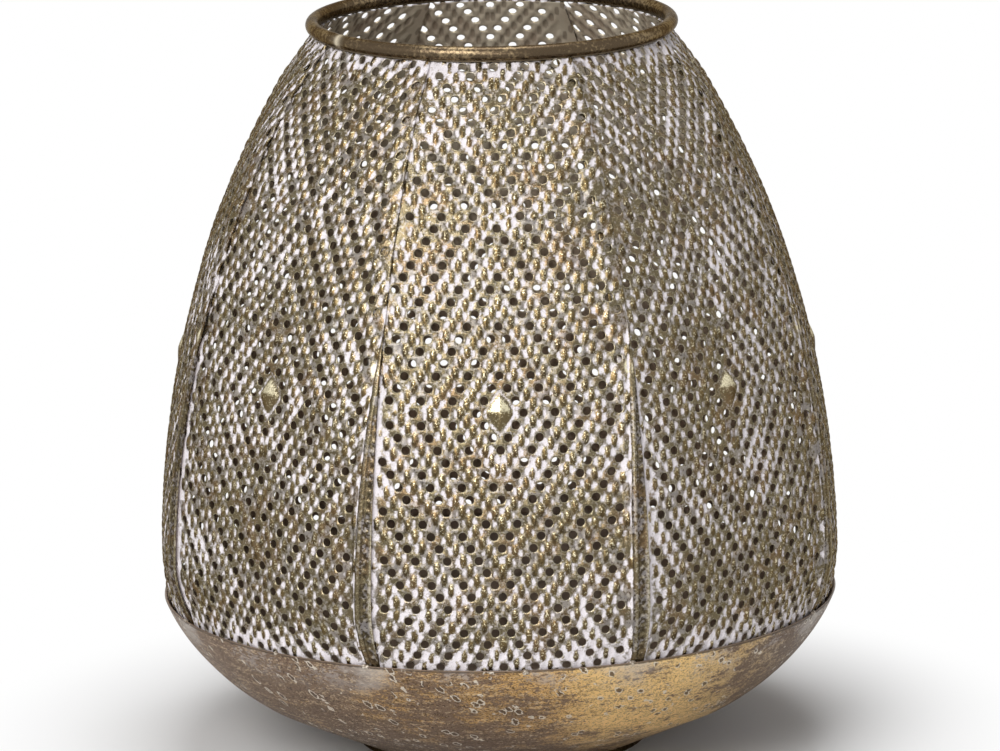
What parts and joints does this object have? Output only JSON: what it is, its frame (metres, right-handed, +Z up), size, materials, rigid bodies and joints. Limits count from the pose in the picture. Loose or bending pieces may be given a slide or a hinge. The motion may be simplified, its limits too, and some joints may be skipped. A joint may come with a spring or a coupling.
{
  "type": "hurricane candle holder",
  "caption": "Pierced metal hurricane candle holder: pressed petal panels with diamond rings of holes, standing in a plain spun bowl under a round wire mouth ring.",
  "frame": {"origin": "centre of the foot ring's underside, on the surface that the holder stands on", "axes": "+Z up through the mouth; the middle of one petal, petal_panel_1, faces -Y"},
  "size_m": [0.2408, 0.2408, 0.2614],
  "materials": {
    "petal_finish": "antique gold over bronze, rubbed back, with white wash left in the hollows",
    "bowl_finish": "dull bronze with patches of worn gold and small pits",
    "ring_finish": "dark bronze, rubbed gold on top",
    "foot_finish": "dark bronze, dull"
  },
  "bodies": {
    "root": {"petal_panel_1": "petal_finish", "petal_panel_2": "petal_finish", "petal_panel_3": "petal_finish", "petal_panel_4": "petal_finish", "petal_panel_5": "petal_finish", "petal_panel_6": "petal_finish", "petal_panel_7": "petal_finish", "petal_panel_8": "petal_finish", "base_bowl": "bowl_finish", "rim_wire_ring": "ring_finish", "foot_ring": "foot_finish"}
  },
  "joints": []
}
